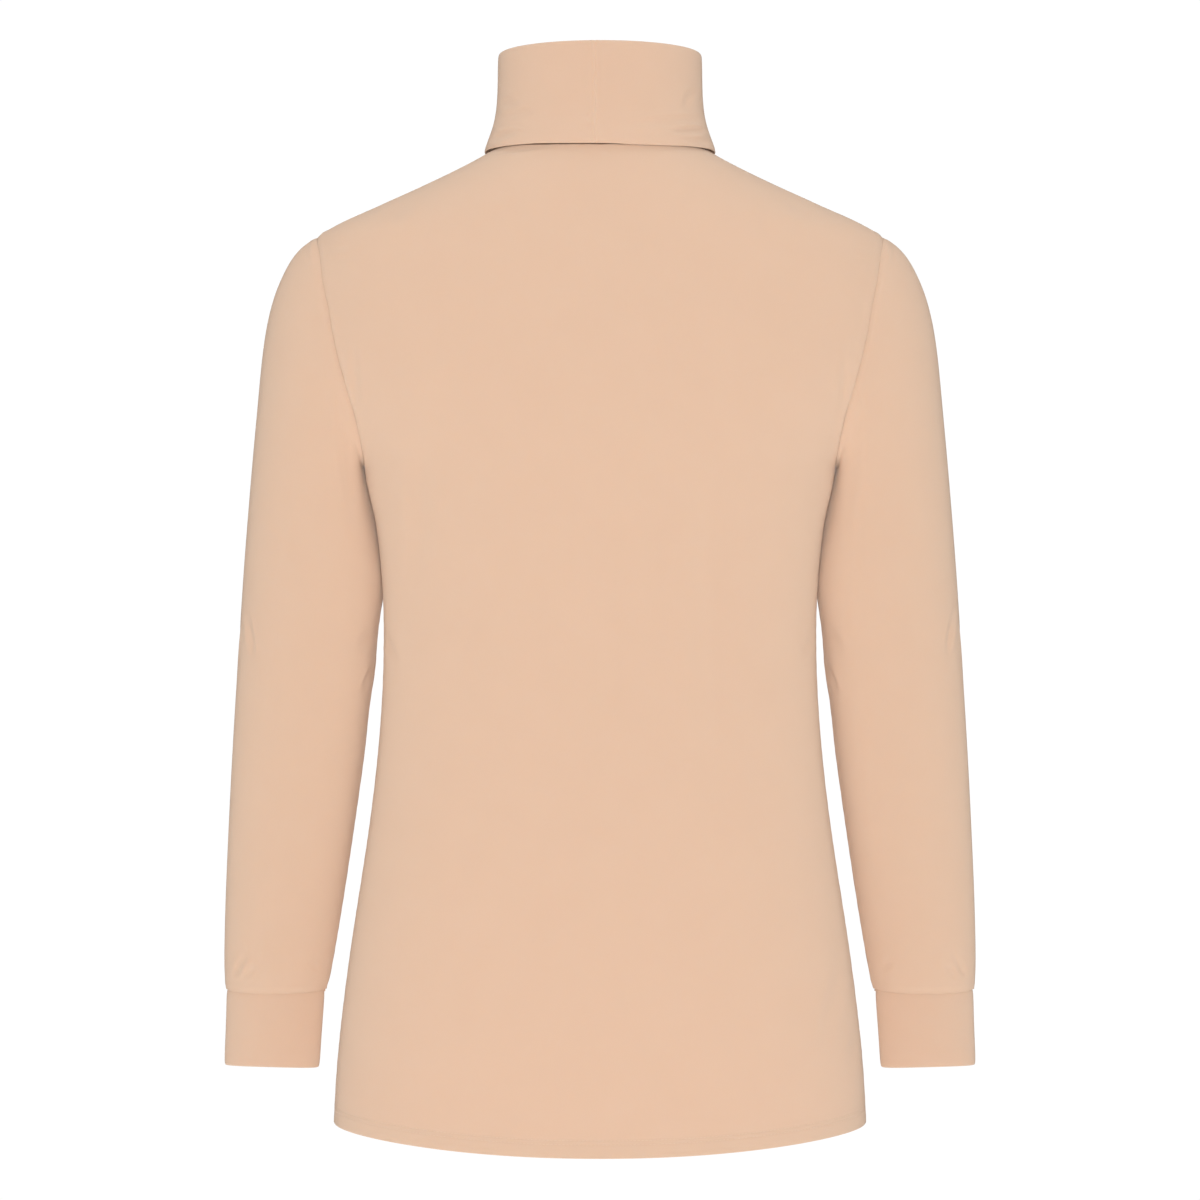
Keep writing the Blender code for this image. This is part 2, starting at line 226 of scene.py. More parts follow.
def outer_side(node_name, facing):
    """The outer side of a cut piece's solid, in quads. It spreads from the face
    that lies furthest the way it faces, and the wall's narrow edges spread from
    the faces with no wall behind them, over the smoothest bends first, until
    they meet at the sharp border between them."""
    bm = merged(node_name)
    first = max(bm.faces, key=lambda face: face.calc_center_median().dot(Vector(facing)))
    order = itertools.count()
    waiting = [(0.0, next(order), first, True)]
    for face in bm.faces:
        start = face.calc_center_median() - face.normal * 1e-5
        behind = solids[node_name].ray_cast(start, -face.normal)[3]
        if behind and behind > WALL_AT_MOST:
            waiting.append((0.0, next(order), face, False))
    outer = {}
    while waiting:
        _, _, face, is_outer = heapq.heappop(waiting)
        if face in outer:
            continue
        outer[face] = is_outer
        for beside in {f for edge in face.edges for f in edge.link_faces} - outer.keys():
            bend = face.normal.angle(beside.normal)
            heapq.heappush(waiting, (bend, next(order), beside, is_outer))
    bmesh.ops.delete(bm, geom=[f for f in bm.faces if not outer[f]], context="FACES")
    into_quads(bm, math.pi)
    return bm


def as_piece(name, bm):
    mesh = bpy.data.meshes.new(name)
    bm.to_mesh(mesh)
    bm.free()
    piece = bpy.data.objects.new(name, mesh)
    bpy.context.scene.collection.objects.link(piece)
    return piece


def settle(piece):
    """Apply a piece's modifiers to its mesh."""
    graph = bpy.context.evaluated_depsgraph_get()
    mesh = bpy.data.meshes.new_from_object(piece.evaluated_get(graph))
    old, piece.data = piece.data, mesh
    piece.modifiers.clear()
    bpy.data.meshes.remove(old)
    mesh.name = piece.name


def points_of(mesh):
    spots = np.empty(len(mesh.vertices) * 3)
    mesh.vertices.foreach_get("co", spots)
    return spots.reshape(-1, 3)


def outward(mesh):
    ways = np.empty(len(mesh.vertices) * 3)
    mesh.vertex_normals.foreach_get("vector", ways)
    return ways.reshape(-1, 3)


def place_points(mesh, spots):
    mesh.vertices.foreach_set("co", spots.ravel())
    mesh.update()


def mark(mesh, name, values):
    mesh.attributes.new(name, "FLOAT", "POINT").data.foreach_set("value", values)


def corners_of(mesh):
    """The number of the point at each corner of the faces, in order."""
    corner = np.empty(len(mesh.loops), dtype=int)
    mesh.loops.foreach_get("vertex_index", corner)
    return corner


def lay_flat(piece):
    """Unwrap a piece to its flat cut, in metres, with its length along v."""
    for other in bpy.context.selected_objects:
        other.select_set(False)
    bpy.context.view_layer.objects.active = piece
    piece.select_set(True)
    piece.data.uv_layers.new(name="cut")
    bpy.ops.object.mode_set(mode="EDIT")
    bpy.ops.mesh.select_all(action="SELECT")
    bpy.ops.uv.unwrap(method="ANGLE_BASED", margin=0.0)
    bpy.ops.object.mode_set(mode="OBJECT")
    mesh = piece.data
    flat = np.empty(len(mesh.loops) * 2)
    mesh.uv_layers["cut"].uv.foreach_get("vector", flat)
    flat = flat.reshape(-1, 2)
    spots = points_of(mesh)[corners_of(mesh)]

    drawn = worn = 0.0
    for face in mesh.polygons:
        ring = flat[face.loop_indices]
        after = np.roll(ring, -1, axis=0)
        drawn += abs((ring[:, 0] * after[:, 1] - after[:, 0] * ring[:, 1]).sum()) / 2
        worn += face.area
    flat *= math.sqrt(worn / drawn)
    flat -= flat.mean(axis=0)
    rise = flat.T @ (spots[:, 2] - spots[:, 2].mean())
    turn = math.atan2(rise[0], rise[1])
    spin = np.array([[math.cos(turn), math.sin(turn)], [-math.sin(turn), math.cos(turn)]])
    flat = flat @ spin
    mesh.uv_layers["cut"].uv.foreach_set("vector", flat.ravel())


def refine(piece, levels):
    """Round a piece off with finer faces, keeping the corners of its edges."""
    curve = piece.modifiers.new("finer", "SUBSURF")
    curve.levels = curve.render_levels = levels
    curve.boundary_smooth = "PRESERVE_CORNERS"
    settle(piece)


def tree_of(points):
    tree = KDTree(max(1, len(points)))
    for number, point in enumerate(points):
        tree.insert(point, number)
    tree.balance()
    return tree


def distance_to(spots, points):
    """From each spot to the nearest of the points, or a metre where there is none."""
    tree = tree_of(points)
    return np.array([tree.find(spot)[2] if len(points) else 1.0 for spot in spots])


# A fold pressed into the cloth: the side it is seen from, where it starts, bends
# and ends (across, height), its half width and its depth; a ridge is minus.
Fold = namedtuple("Fold", "seen start middle end half_width depth")
VIEWS = {"back": (0, 1, -1), "front": (0, 1, 1), "right": (1, 0, 1), "left": (1, 0, -1)}
FOLD_STEPS = 20


def press(spots, ways, folds):
    """How far each point moves out along its normal for the folds: a soft trough
    with a low lip on both sides, deepest a little off its middle, run out to
    nothing at its ends."""
    moved = np.zeros(len(spots))
    for number, fold in enumerate(folds):
        across, facing, sign = VIEWS[fold.seen]
        a, b, c = (np.array(p) for p in (fold.start, fold.middle, fold.end))
        reach = 4 * fold.half_width
        low, high = np.minimum(a, np.minimum(b, c)), np.maximum(a, np.maximum(b, c))
        seen = spots[:, [across, 2]]
        near = np.flatnonzero(((seen > low - reach) & (seen < high + reach)).all(axis=1)
                              & (ways[:, facing] * sign > 0.05))
        seen = seen[near]
        nearest, place = np.full(len(near), 1.0), np.zeros(len(near))
        bend = 2 * b - (a + c) / 2
        for step in range(FOLD_STEPS):
            t, u = step / FOLD_STEPS, (step + 1) / FOLD_STEPS
            here = (1 - t) ** 2 * a + 2 * t * (1 - t) * bend + t * t * c
            run = (1 - u) ** 2 * a + 2 * u * (1 - u) * bend + u * u * c - here
            along = np.clip((seen - here) @ run / (run @ run), 0.0, 1.0)
            away = np.linalg.norm(seen - here - along[:, None] * run, axis=1)
            closer = away < nearest
            nearest[closer] = away[closer]
            place[closer] = (t + along / FOLD_STEPS)[closer]
        peak = 0.5 + 0.14 * math.sin(2.3 * number + 0.7)
        swell = np.where(place < peak, place / peak, (1 - place) / (1 - peak))
        swell = np.sin(np.clip(swell, 0.0, 1.0) * math.pi / 2) ** 1.5
        width = fold.half_width * (0.7 + 0.3 * swell)
        trough = np.exp(-(nearest / width) ** 2)
        lips = np.exp(-((nearest - 1.9 * width) / (0.8 * width)) ** 2)
        faces = np.clip((ways[near, facing] * sign - 0.05) / 0.3, 0.0, 1.0)
        moved[near] += fold.depth * (0.3 * lips - trough) * swell * faces
    return moved


# A soft swelling of the cloth: its middle, how far it reaches and how high it is.
Swell = namedtuple("Swell", "middle reach height")


def swell_out(spots, swells):
    moved = np.zeros(len(spots))
    for swell in swells:
        away = (spots - np.array(swell.middle)) / np.array(swell.reach)
        moved += swell.height * np.exp(-(away ** 2).sum(axis=1))
    return moved


def into_piece(v):
    """The way from an edge point into its piece."""
    middle = sum((f.calc_center_median() for f in v.link_faces), Vector())
    return (middle / len(v.link_faces) - v.co).normalized()


def sewn_edges(piece, own):
    """Edge points that meet another piece, with that piece's name and the way
    across the seam, and the points of the hem. A slit in the piece itself goes by
    its own name."""
    bm = bmesh.new()
    bm.from_mesh(piece.data)
    rim = [v for v in bm.verts if v.is_boundary]
    tree = tree_of([v.co for v in rim])
    sewn, hem = {}, []
    for v in rim:
        near = [(away, name, spot) for name, solid in solids.items() if name != own
                for spot, _, _, away in [solid.find_nearest(v.co, SEWN_REACH)] if spot]
        if v.co.z < HEM_LEVEL and own in ("back", "front"):
            hem.append(v.index)
        if near:
            sewn[v.index] = (min(near)[1], min(near)[2] - v.co)
        elif len(tree.find_range(v.co, 1e-5)) > 1:
            sewn[v.index] = (own, into_piece(v))
    bm.free()
    return sewn, [i for i in hem if i not in sewn]


# How a seam is made on one side: the share of the gap that this edge closes, how
# far it sinks, and how high the cloth stands beside it.
Seam = namedtuple("Seam", "share sink lip")
hem_edges = {}


def tailor(name, bm, folds, swells, seams, allowances):
    """Make one cut piece from its coarse outer side: fine cloth with its folds,
    eased edges, seam allowances and hem, and a wall."""
    piece = as_piece(name, bm)
    lay_flat(piece)
    refine(piece, FINE_LEVELS)
    mesh = piece.data
    spots, ways = points_of(mesh), outward(mesh)
    sewn, hem = sewn_edges(piece, name)
    from_hem = distance_to(spots, spots[hem])

    lift = PROUD + press(spots, ways, folds) + swell_out(spots, swells)
    from_seam = np.full(len(spots), 1.0)
    drift = 2 * np.sin(spots[:, 2] * PUCKER_DRIFT)
    pucker = np.sin(spots @ np.array(PUCKER_TURNS) + drift)
    for other, seam in seams.items():
        away = distance_to(spots, spots[[i for i, (to, _) in sewn.items() if to == other]])
        from_seam = np.minimum(from_seam, away)
        lift += seam.lip * np.exp(-((away - LIP_AWAY) / LIP_WIDTH) ** 2)
        lift += PUCKER_HEIGHT * pucker * np.exp(-(away / PUCKER_WIDTH) ** 2)
        lift -= seam.sink * np.exp(-(away / SINK_WIDTH) ** 2)
    moved = spots + ways * lift[:, None]
    for index, (other, across) in sewn.items():
        way = Vector(ways[index])
        across = across - across.dot(way) * way
        gap = across.length
        if gap > 1e-6:
            ease = max(0.0, (gap - SEAM_GAP) * seams[other].share)
            if other == name:
                ease = SLIT_EASE
            moved[index] += np.array(across) * (ease / gap)
    place_points(mesh, moved)
    mark(mesh, "seam", from_seam)
    mark(mesh, "hem", from_hem)
    hem_edges[name] = moved[hem]

    ways = outward(mesh)
    bm = bmesh.new()
    bm.from_mesh(mesh)
    points = list(bm.verts)
    normals = [Vector(way) for way in ways]

    def second_layer(faces, drop):
        """A copy of some faces, a step inside them. Returns each point's twin."""
        steps = {v: normals[v.index] * drop for f in faces for v in f.verts}
        twins = bmesh.ops.duplicate(bm, geom=faces)["vert_map"]
        for v, step in steps.items():
            twins[v].co = v.co - step
        return {v: twins[v] for v in steps}

    def edges_along(line):
        return list({e for v in line for e in v.link_edges
                     if e.is_boundary and e.other_vert(v) in line})

    turned = [f for f in bm.faces if max(from_hem[v.index] for v in f.verts) < HEM_DEPTH]
    for other in allowances:
        seeds = {points[i] for i, (toward, across) in sewn.items()
                 if toward == other and (other != name or across.y < 0)}
        rows, ring = set(), set(seeds)
        for _ in range(ALLOWANCE_ROWS):
            rows |= {f for v in ring for f in v.link_faces}
            ring = {v for f in rows for v in f.verts}
        past = {v: -into_piece(v) * ALLOWANCE_PAST for v in seeds}
        twins = second_layer(list(rows), ALLOWANCE_DROP)
        steps = {twins[v]: step for v, step in past.items()}
        ends = list(steps)
        tree = tree_of([v.co for v in ends])
        made = bmesh.ops.extrude_edge_only(bm, edges=edges_along(steps))["geom"]
        for v in made:
            if isinstance(v, bmesh.types.BMVert):
                v.co += steps[ends[tree.find(v.co)[1]]]
    if turned:
        edge = {points[i] for i in hem}
        edge |= {v for f in turned for v in f.verts
                 if v.is_boundary and from_hem[v.index] < SAME_PLACE}
        outer = edges_along(edge)
        twins = second_layer(turned, HEM_FOLD)
        inside = set(twins.values())
        bmesh.ops.reverse_faces(bm, faces=list({f for v in inside for f in v.link_faces}))
        bmesh.ops.bridge_loops(bm, edges=outer + edges_along({twins[v] for v in edge}))
    bm.to_mesh(mesh)
    bm.free()

    wall = piece.modifiers.new("wall", "SOLIDIFY")
    wall.thickness = CLOTH_WALL
    wall.offset = -1.0
    wall.use_even_offset = False
    rounding = piece.modifiers.new("rounded edge", "BEVEL")
    rounding.width = EDGE_ROUND
    rounding.segments = 2
    rounding.limit_method = "ANGLE"
    rounding.angle_limit = math.radians(EDGE_BEND)
    settle(piece)
    finish_piece(piece, name)
    return piece


def finish_piece(piece, node_name):
    """Give a piece its name and its cloth, and set it in place of its solid."""
    piece.name = node_name + "_cloth"
    piece.data.materials.clear()
    piece.data.materials.append(jersey_finish)
    piece.data.shade_smooth()
    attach(piece, body="root")
    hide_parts(node_name)


BACK_FOLDS = (
    Fold("back", (0.007, -0.150), (0.0085, -0.300), (0.006, -0.490), 0.011, 0.0010),
    Fold("back", (0.069, -0.163), (0.078, -0.340), (0.083, -0.526), 0.012, 0.0013),
    Fold("back", (-0.127, -0.203), (-0.126, -0.270), (-0.137, -0.334), 0.007, 0.0014),
    Fold("back", (-0.131, -0.038), (-0.140, -0.046), (-0.151, -0.055), 0.006, 0.0010),
    Fold("back", (0.126, -0.036), (0.139, -0.045), (0.152, -0.058), 0.006, 0.0009),
    Fold("back", (-0.079, -0.0064), (-0.0555, -0.0053), (-0.029, -0.0036), 0.0018, 0.0009),
    Fold("back", (-0.196, -0.078), (-0.184, -0.0775), (-0.172, -0.077), 0.0022, -0.0007),
    Fold("back", (0.195, -0.079), (0.184, -0.078), (0.171, -0.0775), 0.0022, -0.0006),
    Fold("back", (-0.171, -0.136), (-0.1705, -0.165), (-0.170, -0.188), 0.0030, 0.0012),
    Fold("back", (0.171, -0.138), (0.1705, -0.165), (0.170, -0.190), 0.0030, 0.0011),
    Fold("back", (-0.153, -0.346), (-0.1475, -0.355), (-0.139, -0.362), 0.0028, 0.0022),
    Fold("back", (0.153, -0.342), (0.147, -0.352), (0.139, -0.357), 0.0028, 0.0019),
    Fold("back", (0.170, -0.562), (0.162, -0.605), (0.151, -0.635), 0.005, 0.0012),
    Fold("back", (0.180, -0.624), (0.178, -0.638), (0.173, -0.652), 0.004, 0.0011),
)
FRONT_FOLDS = (
    Fold("front", (-0.064, -0.230), (-0.078, -0.400), (-0.086, -0.560), 0.012, 0.0010),
    Fold("front", (0.060, -0.250), (0.066, -0.430), (0.073, -0.600), 0.012, 0.0009),
    Fold("front", (0.004, -0.300), (-0.002, -0.450), (-0.012, -0.610), 0.011, 0.0008),
    Fold("front", (-0.166, -0.140), (-0.150, -0.164), (-0.128, -0.178), 0.006, 0.0010),
    Fold("front", (0.166, -0.146), (0.148, -0.168), (0.124, -0.186), 0.006, 0.0009),
    Fold("front", (-0.153, -0.344), (-0.146, -0.356), (-0.136, -0.364), 0.0035, 0.0010),
    Fold("front", (0.153, -0.350), (0.146, -0.360), (0.137, -0.366), 0.0035, 0.0009),
    Fold("front", (-0.166, -0.570), (-0.160, -0.608), (-0.150, -0.640), 0.005, 0.0008),
)
SIDE_SWELLS = (
    Swell((0.157, -0.008, -0.400), (0.030, 0.060, 0.180), -0.0010),
    Swell((0.195, -0.003, -0.052), (0.020, 0.040, 0.016), -0.0007),
)


def over(spot):
    """The same place on the other side of the body."""
    return (-spot[0],) + tuple(spot[1:])


def both_sides(swells):
    return swells + tuple(swell._replace(middle=over(swell.middle)) for swell in swells)


BACK_SWELLS = both_sides(SIDE_SWELLS + (
    Swell((0.1640, -0.020, -0.243), (0.020, 0.016, 0.013), 0.0013),))
FRONT_SWELLS = both_sides(SIDE_SWELLS)

Panel = namedtuple("Panel", "name facing flat area folds swells allowances")
PANELS = (
    Panel("back", (0, -1, 0), (0.480, 0.752), 0.2983, BACK_FOLDS, BACK_SWELLS, ("front",)),
    Panel("front", (0, 1, 0), (0.493, 0.748), 0.3057, FRONT_FOLDS, FRONT_SWELLS, ()),
)
PANEL_SEAMS = {
    "back": Seam(0.5, 0.00030, 0.00010),
    "front": Seam(0.5, 0.00030, 0.00010),
    "sleeve_right": Seam(0.5, 0.00015, 0.00040),
    "sleeve_left": Seam(0.5, 0.00015, 0.00040),
    "collar": Seam(1.0, 0.00000, 0.00010),
}
panels = {}
for panel in PANELS:
    panels[panel.name] = tailor(
        panel.name, outer_side(panel.name, panel.facing), panel.folds, panel.swells,
        PANEL_SEAMS, panel.allowances)

# -------------------------------------------------------------------- sleeves
# Two long set-in sleeves of the same jersey, each cut in one piece and sewn to a
# tube along the underarm, then overlocked into the armhole.


def slit_underarm(bm):
    """Open the tube along the underarm, from the armhole down to the cuff."""
    ring, grow = set(), [max((v for v in bm.verts if v.is_boundary), key=lambda v: v.co.z)]
    while grow:
        v = grow.pop()
        ring.add(v)
        grow += [e.other_vert(v) for e in v.link_edges
                 if e.is_boundary and e.other_vert(v) not in ring]
    here = min(ring, key=lambda v: v.co.z)
    path = [next(e for e in here.link_edges if not e.is_boundary)]
    while True:
        here = path[-1].other_vert(here)
        if here.is_boundary:
            break
        path.append(next(e for e in here.link_edges
                         if not set(e.link_faces) & set(path[-1].link_faces)))
    bmesh.ops.split_edges(bm, edges=path)
    return bm


# As on the wearer's right arm. The left sleeve's are the same across the middle.
SLEEVE_FOLDS = (
    Fold("back", (0.1845, -0.165), (0.180, -0.215), (0.174, -0.275), 0.0036, 0.0011),
    Fold("back", (0.1590, -0.3615), (0.1640, -0.374), (0.1700, -0.3865), 0.0022, 0.0030),
    Fold("back", (0.162, -0.340), (0.1675, -0.350), (0.1735, -0.360), 0.0036, 0.0016),
    Fold("back", (0.2540, -0.322), (0.2495, -0.343), (0.2465, -0.361), 0.0020, 0.0019),
    Fold("back", (0.2630, -0.592), (0.2590, -0.583), (0.2500, -0.570), 0.0022, 0.0014),
    Fold("back", (0.2560, -0.594), (0.2520, -0.587), (0.2450, -0.580), 0.0020, 0.0011),
    Fold("back", (0.2030, -0.590), (0.2060, -0.583), (0.2110, -0.578), 0.0020, 0.0011),
    Fold("back", (0.2045, -0.066), (0.2035, -0.076), (0.2030, -0.086), 0.0022, -0.0008),
    Fold("front", (0.162, -0.300), (0.170, -0.318), (0.182, -0.334), 0.0045, 0.0020),
    Fold("front", (0.161, -0.352), (0.171, -0.366), (0.186, -0.376), 0.0035, 0.0024),
    Fold("front", (0.166, -0.388), (0.177, -0.398), (0.190, -0.402), 0.0040, 0.0016),
    Fold("front", (0.176, -0.236), (0.184, -0.214), (0.190, -0.182), 0.0050, 0.0015),
    Fold("front", (0.2600, -0.590), (0.2540, -0.580), (0.2440, -0.570), 0.0028, 0.0012),
    Fold("right", (0.010, -0.330), (0.018, -0.352), (0.022, -0.380), 0.0040, 0.0012),
)
SLEEVE_SWELLS = (
    Swell((0.1670, 0.020, -0.244), (0.020, 0.016, 0.013), 0.0015),
    Swell((0.1580, 0.010, -0.308), (0.020, 0.030, 0.028), 0.0032),
    Swell((0.2130, -0.005, -0.072), (0.016, 0.040, 0.016), 0.0013),
)


def across_middle(fold):
    """The same fold on the left arm."""
    if fold.seen == "right":
        return fold._replace(seen="left")
    return fold._replace(start=over(fold.start), middle=over(fold.middle), end=over(fold.end))


for side, way in (("right", 1), ("left", -1)):
    name = "sleeve_" + side
    folds, swells = SLEEVE_FOLDS, SLEEVE_SWELLS
    if way < 0:
        folds = tuple(across_middle(fold) for fold in folds)
        swells = tuple(swell._replace(middle=over(swell.middle)) for swell in swells)
    sleeve_seams = {
        "back": Seam(0.5, 0.00045, 0.00000),
        "front": Seam(0.5, 0.00045, 0.00000),
        "cuff_" + side: Seam(1.0, 0.00000, 0.00025),
        name: Seam(1.0, 0.00030, 0.00010),
    }
    sleeve = tailor(
        name, slit_underarm(outer_side(name, (way, 0, 0))), folds, swells,
        sleeve_seams, ("back", "front", "cuff_" + side, name))


# -------------------------------------------------------------- cuffs and collar
# Cuffs and collar are doubled bands of the same jersey. Each cuff is a short tube
# folded at the wrist; the collar stands up from the neckline and is turned down
# over itself, with one seam up its back.
BAND_QUAD_BEND = 40


def doubled_band(name, levels, shape, cuts=()):
    """A cuff or the collar, from its solid: finer, cut along planes at the given
    places across its back, shaped, and marked with its flat cut round the tube."""
    bm = merged(name)
    into_quads(bm, math.radians(BAND_QUAD_BEND))
    piece = as_piece(name, bm)
    refine(piece, levels)
    mesh = piece.data
    bm = bmesh.new()
    bm.from_mesh(mesh)
    for x in cuts:
        behind = {f for f in bm.faces if f.calc_center_median().y < 0}
        edges = {e for f in behind for e in f.edges}
        corners = {v for f in behind for v in f.verts}
        bmesh.ops.bisect_plane(bm, geom=list(behind | edges | corners),
                               plane_co=(x, 0, 0), plane_no=(1, 0, 0), dist=1e-6)
    bm.to_mesh(mesh)
    bm.free()
    spots = shape(points_of(mesh), outward(mesh))
    place_points(mesh, spots)
    middle = (spots.max(axis=0) + spots.min(axis=0)) / 2
    round_ = np.arctan2(spots[:, 0] - middle[0], -(spots[:, 1] - middle[1]))
    radius = np.hypot(spots[:, 0] - middle[0], spots[:, 1] - middle[1]).mean()
    corner = corners_of(mesh)
    starts = np.empty(len(mesh.polygons), dtype=int)
    mesh.polygons.foreach_get("loop_start", starts)
    first = np.repeat(round_[corner[starts]], np.diff(np.append(starts, len(corner))))
    turn = first + (round_[corner] - first + math.pi) % math.tau - math.pi
    flat = np.stack([turn * radius, spots[corner, 2]], axis=1)
    mesh.uv_layers.new(name="cut")
    mesh.uv_layers["cut"].uv.foreach_set("vector", flat.ravel())
    mark(mesh, "seam", np.full(len(spots), 1.0))
    mark(mesh, "hem", np.full(len(spots), 1.0))
    finish_piece(piece, name)
    return piece


CUFF_LEVELS = 3
CUFF_FOOT_DROP = 0.0028


def shaped_cuff(spots, ways):
    """The cuff's foot hangs level as it is seen from behind: the rest drops."""
    low, high = spots.min(axis=0), spots.max(axis=0)
    middle = (low + high) / 2
    near = np.clip((middle[1] - spots[:, 1]) / (high[1] - middle[1]), 0.0, 1.0)
    down = np.clip((high[2] - spots[:, 2]) / (high[2] - low[2]), 0.0, 1.0)
    spots = spots.copy()
    spots[:, 2] -= CUFF_FOOT_DROP * (1 - near ** 1.5) * down ** 2
    return spots


for side in ("right", "left"):
    cuff = doubled_band("cuff_" + side, CUFF_LEVELS, shaped_cuff)

COLLAR_LEVELS = 3
COLLAR_SEAM_X = -0.0036
SEAM_CUTS = tuple(COLLAR_SEAM_X + step for step in (-0.0012, -0.0006, 0.0, 0.0006, 0.0012))
COLLAR_OVAL = (0.0733, 0.0650)
BEYOND_COLLAR, COLLAR_SEARCH = 0.03, 0.05
FALL_WALL = 0.0026
FALL_EASE = 0.0006
FALL_REST = 0.0003
FALL_NEAR = 0.003
SEAM_RIDGE, RIDGE_AWAY, RIDGE_WIDTH = 0.00035, 0.0019, 0.0011
SEAM_DITCH, DITCH_WIDTH = 0.00075, 0.0006
# Over this height, down to the fall's lower edge, the drop comes in.
DROP_FOOT, DROP_HEIGHT = -0.006, 0.030
DROP_UP_TO = 0.01
# How far the fall's lower edge drops at the back, from the left to the right.
FallDrop = namedtuple("FallDrop", "x drop")
FALL_DROPS = (
    FallDrop(-0.083, 0.0028), FallDrop(-0.072, 0.0030), FallDrop(-0.063, 0.0024),
    FallDrop(-0.055, 0.0018), FallDrop(-0.045, 0.0010), FallDrop(0.000, 0.0006),
    FallDrop(0.012, 0.0010), FallDrop(0.020, 0.0018), FallDrop(0.036, 0.0026),
    FallDrop(0.048, 0.0032), FallDrop(0.070, 0.0036), FallDrop(0.083, 0.0030),
)
COLLAR_FOLDS = (
    Fold("back", (0.0765, 0.0135), (0.0640, 0.0105), (0.0457, 0.0070), 0.0020, 0.0022),
    Fold("back", (0.0740, 0.0220), (0.0560, 0.0160), (0.0100, 0.0105), 0.0028, 0.0011),
    Fold("back", (0.0785, 0.0050), (0.0700, 0.0035), (0.0560, 0.0030), 0.0022, 0.0012),
    Fold("back", (0.0735, 0.0400), (0.0640, 0.0360), (0.0600, 0.0230), 0.0026, 0.0011),
    Fold("back", (-0.0777, 0.0040), (-0.0680, 0.0078), (-0.0500, 0.0070), 0.0024, 0.0014),
    Fold("back", (-0.0725, 0.0330), (-0.0640, 0.0300), (-0.0560, 0.0290), 0.0030, 0.0010),
    Fold("back", (-0.0735, 0.0180), (-0.0600, 0.0215), (-0.0440, 0.0205), 0.0028, 0.0008),
    Fold("back", (-0.0120, 0.0170), (-0.0080, 0.0160), (-0.0050, 0.0165), 0.0018, 0.0007),
    Fold("back", (-0.0115, 0.0100), (-0.0080, 0.0085), (-0.0052, 0.0090), 0.0018, 0.0008),
    Fold("front", (0.0740, 0.0100), (0.0500, 0.0010), (0.0200, -0.0060), 0.0040, 0.0016),
    Fold("front", (-0.0740, 0.0080), (-0.0520, -0.0020), (-0.0240, -0.0080), 0.0040, 0.0017),
)


def skin_of(piece):
    bm = bmesh.new()
    bm.from_mesh(piece.data)
    skin = BVHTree.FromBMesh(bm)
    bm.free()
    return skin


panel_skins = {name: skin_of(piece) for name, piece in panels.items()}


def shaped_collar(spots, ways):
    """Creases and the back seam on the fall, whose lower edge rests on the body."""
    out = np.zeros_like(spots)
    out[:, :2] = spots[:, :2] / np.array(COLLAR_OVAL) ** 2
    out /= np.linalg.norm(out, axis=1)[:, None]
    depth = np.empty(len(spots))
    for number, (spot, way) in enumerate(zip(spots, out)):
        start, way = Vector(spot + way * BEYOND_COLLAR), Vector(way)
        hit = solids["collar"].ray_cast(start, -way, COLLAR_SEARCH)
        depth[number] = BEYOND_COLLAR - hit[3] if hit[0] else 0.0
    fall = np.clip((FALL_WALL + FALL_EASE - depth) / FALL_EASE, 0.0, 1.0)
    crease = press(spots, out, COLLAR_FOLDS)
    off = np.abs(spots[:, 0] - COLLAR_SEAM_X)
    ridge = SEAM_RIDGE * np.exp(-((off - RIDGE_AWAY) / RIDGE_WIDTH) ** 2)
    ridge -= SEAM_DITCH * np.exp(-(off / DITCH_WIDTH) ** 2)
    behind, facing_out = spots[:, 1] < 0, np.einsum("ij,ij->i", ways, out) > 0
    spots = spots + out * ((crease + ridge * behind * facing_out) * fall)[:, None]

    height = np.clip(1 - (spots[:, 2] - DROP_FOOT) / DROP_HEIGHT, 0.0, 1.0)
    across, drops = zip(*FALL_DROPS)
    drop = np.interp(spots[:, 0], across, drops)
    spots[:, 2] -= drop * height ** 2 * fall * (spots[:, 1] < DROP_UP_TO)
    for index in np.flatnonzero((fall > 0.5) & (height > 0.2)):
        for skin in panel_skins.values():
            spot = Vector(spots[index])
            place, normal, _, _ = skin.find_nearest(spot, FALL_NEAR)
            if place is not None:
                clear = (spot - place).dot(normal)
                if clear < FALL_REST:
                    spots[index] += np.array(normal) * (FALL_REST - clear)
    return spots


collar = doubled_band("collar", COLLAR_LEVELS, shaped_collar, SEAM_CUTS)

# ------------------------------------------------------------------ hem stitches
# A twin-needle coverstitch holds the hem: two rows of short stitches in matching
# thread, close together, all the way round.
THREAD = (0.76, 0.56, 0.42, 1.0)
STITCH_PITCH = 0.0027
STITCH_SIZE = (0.00020, 0.00020, 0.00110)
BEYOND_HEM = 0.02

thread = Finish("hem thread")
thread.feed(thread.shader, {"Base Color": THREAD, "Roughness": 0.6,
                            "Sheen Weight": 0.1, "Diffuse Roughness": 0.5})


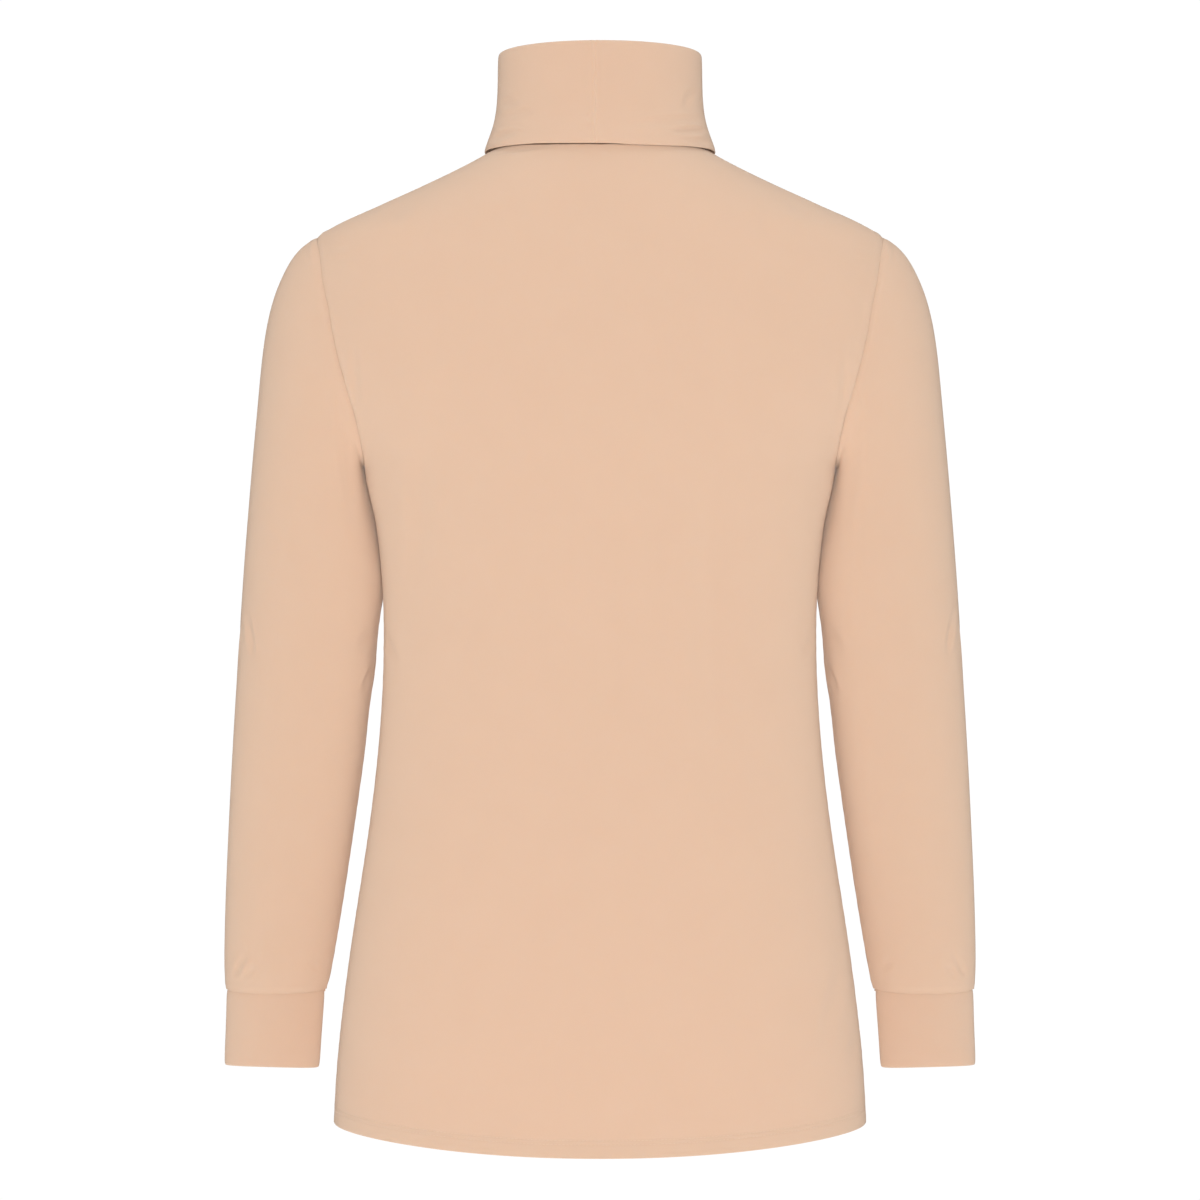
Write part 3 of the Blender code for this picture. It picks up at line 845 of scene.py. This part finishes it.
def stitch_rows(name, facing):
    """Two rows of stitches laid on a panel, along its turned-up hem."""
    edge = hem_edges[name]
    edge = edge[np.argsort(np.arctan2(edge[:, 0], facing * edge[:, 1]))]
    run = np.append(0.0, np.cumsum(np.linalg.norm(np.diff(edge, axis=0), axis=1)))
    stops = np.arange(STITCH_PITCH, run[-1] - STITCH_PITCH, STITCH_PITCH)
    line = np.stack([np.interp(stops, run, edge[:, k]) for k in range(3)], axis=1)
    bm = bmesh.new()
    for row_up in HEM_ROWS:
        for before, spot, after in zip(line, line[1:], line[2:]):
            along = Vector(after - before).normalized()
            out = along.cross(Vector((0, 0, -facing))).normalized()
            start = Vector(spot) + Vector((0, 0, row_up)) + out * BEYOND_HEM
            place, normal, _, _ = panel_skins[name].ray_cast(start, -out, 2 * BEYOND_HEM)
            if place is None:
                continue
            side = normal.cross(along).normalized()
            turn = Matrix((side, normal, along)).transposed().to_4x4()
            size = Matrix.Diagonal(STITCH_SIZE + (1.0,))
            bmesh.ops.create_uvsphere(bm, u_segments=6, v_segments=4, radius=1.0,
                                      matrix=Matrix.Translation(place) @ turn @ size)
    stitches = as_piece(name + "_hem_stitches", bm)
    stitches.data.materials.append(thread.material)
    stitches.data.shade_smooth()
    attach(stitches, body="root")
    return stitches


for panel in PANELS:
    stitches = stitch_rows(panel.name, panel.facing[1])

# -------------------------------------------------------------------- studio
# White surroundings, a pale floor, and broad soft lights close beside the camera
# and behind the garment, with a weaker one above.
scene = bpy.context.scene
scene.view_settings.view_transform = "Standard"
surround = bpy.data.worlds.new("white studio")
surround.use_nodes = True
scene.world = surround
BACKDROP_WHITE = 1.02
FILL = 0.26
FLOOR_REACH, FLOOR_LEVEL = 3.0, -1.45
GARMENT_MIDDLE = (0.0, 0.0, -0.32)
CAMERA_PLACE = (0.0, -2.4, -0.3203)
CAMERA_LENS = 100.7
sky = surround.node_tree.nodes["Background"]
seen = surround.node_tree.nodes.new("ShaderNodeLightPath")
level = surround.node_tree.nodes.new("ShaderNodeMix")
level.inputs[2].default_value = FILL
level.inputs[3].default_value = BACKDROP_WHITE
sky.inputs["Color"].default_value = (1.0, 1.0, 1.0, 1.0)
surround.node_tree.links.new(seen.outputs["Is Camera Ray"], level.inputs[0])
surround.node_tree.links.new(level.outputs[0], sky.inputs["Strength"])

bm = bmesh.new()
bmesh.ops.create_grid(bm, x_segments=1, y_segments=1, size=FLOOR_REACH)
bmesh.ops.translate(bm, verts=bm.verts, vec=(0.0, 0.0, FLOOR_LEVEL))
floor = as_piece("floor", bm)
paint = Finish("pale floor")
paint.feed(paint.shader, {"Base Color": (0.9, 0.9, 0.9, 1.0), "Roughness": 0.9})
floor.data.materials.append(paint.material)

Softbox = namedtuple("Softbox", "name place size watts")
for box in (
    Softbox("front softbox", (0.0, -3.2, -0.20), 0.8, 73.0),
    Softbox("back softbox", (0.0, 3.2, 0.2), 1.2, 70.0),
    Softbox("top softbox", (0.0, -0.3, 2.4), 1.6, 17.5),
):
    lamp = bpy.data.lights.new(box.name, "AREA")
    lamp.size, lamp.energy = box.size, box.watts
    holder = bpy.data.objects.new(box.name, lamp)
    holder.location = box.place
    aim = Vector(GARMENT_MIDDLE) - holder.location
    holder.rotation_euler = aim.to_track_quat("-Z", "Y").to_euler()
    scene.collection.objects.link(holder)

lens = bpy.data.cameras.new("camera")
lens.lens = CAMERA_LENS
lens.sensor_width = 36.0
camera = bpy.data.objects.new("camera", lens)
camera.location = CAMERA_PLACE
camera.rotation_euler = (math.radians(90), 0.0, 0.0)
scene.collection.objects.link(camera)
scene.camera = camera
